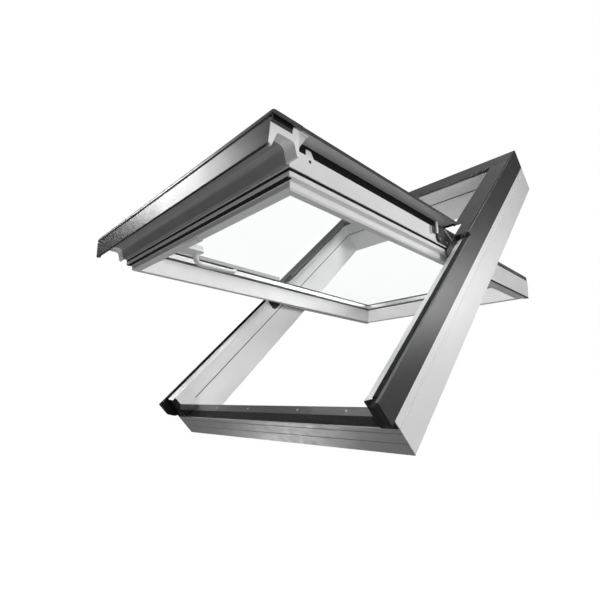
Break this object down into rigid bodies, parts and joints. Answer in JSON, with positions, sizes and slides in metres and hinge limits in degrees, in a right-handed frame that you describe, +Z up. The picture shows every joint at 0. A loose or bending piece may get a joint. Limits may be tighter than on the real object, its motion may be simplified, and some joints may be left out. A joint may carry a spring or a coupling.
{
  "type": "roof window",
  "caption": "Centre pivot roof window in a pitched roof, white plastic frame and sash with dark metal covers, shown tilted open.",
  "frame": {"origin": "middle of the sill's flat room-side face, the frame being pitched at 45 degrees as in a roof", "axes": "+X across the window to the right as seen from outside, along the pivot axis; +Y level, into the building; +Z up"},
  "size_m": [0.78, 1.1753, 0.9405],
  "materials": {
    "white_plastic": "smooth white window plastic",
    "black_rubber": "matt black seal",
    "clear_glass": "clear float glass",
    "spacer_metal": "mill finish strip",
    "hinge_metal": "black coated steel",
    "white_fittings": "white moulded plastic",
    "grey_apron": "grey coated sheet, satin",
    "dark_cladding": "dark grey coated aluminium, satin"
  },
  "bodies": {
    "frame": {"frame_right_jamb": "white_plastic", "frame_left_jamb": "white_plastic", "frame_sill": "white_plastic", "frame_head": "white_plastic", "sill_apron": "grey_apron", "sill_seal": "black_rubber", "sill_cover": "dark_cladding", "lower_cover_right": "dark_cladding", "lower_cover_left": "dark_cladding", "jamb_seal_right": "black_rubber", "jamb_seal_left": "black_rubber", "end_block_right": "black_rubber", "end_block_left": "black_rubber", "upper_cover_right": "dark_cladding", "upper_cover_left": "dark_cladding", "head_cover": "dark_cladding", "frame_hinge_right": "hinge_metal", "frame_hinge_left": "hinge_metal"},
    "sash": {"sash_right_stile": "white_plastic", "sash_left_stile": "white_plastic", "sash_bottom_rail": "white_plastic", "sash_top_rail": "white_plastic", "glazing_seal": "black_rubber", "room_pane": "clear_glass", "pane_spacer": "spacer_metal", "outer_pane": "clear_glass", "glazing_bead": "dark_cladding", "sash_seal": "black_rubber", "side_cover_right": "dark_cladding", "side_cover_left": "dark_cladding", "cover_carrier_right": "black_rubber", "cover_carrier_left": "black_rubber", "rain_hood": "dark_cladding", "hood_lining": "dark_cladding", "hood_cap_right": "white_fittings", "hood_cap_left": "white_fittings", "sash_hinge_right": "hinge_metal", "sash_hinge_left": "hinge_metal", "handle_base": "white_fittings"},
    "lever": {"handle_lever": "white_fittings"}
  },
  "joints": [
    {"name": "sash_pivot", "type": "hinge", "parent": "frame", "child": "sash", "pos_m": [0, 0.30158, 0.4925], "axis": [-1, 0, 0], "range_deg": [-45.4, 89.6]},
    {"name": "lever_turn", "type": "hinge", "parent": "sash", "child": "lever", "pos_m": [-0.088, -0.21396, 0.4161], "axis": [0, 0.007, 1], "range_deg": [-85, 5]}
  ]
}
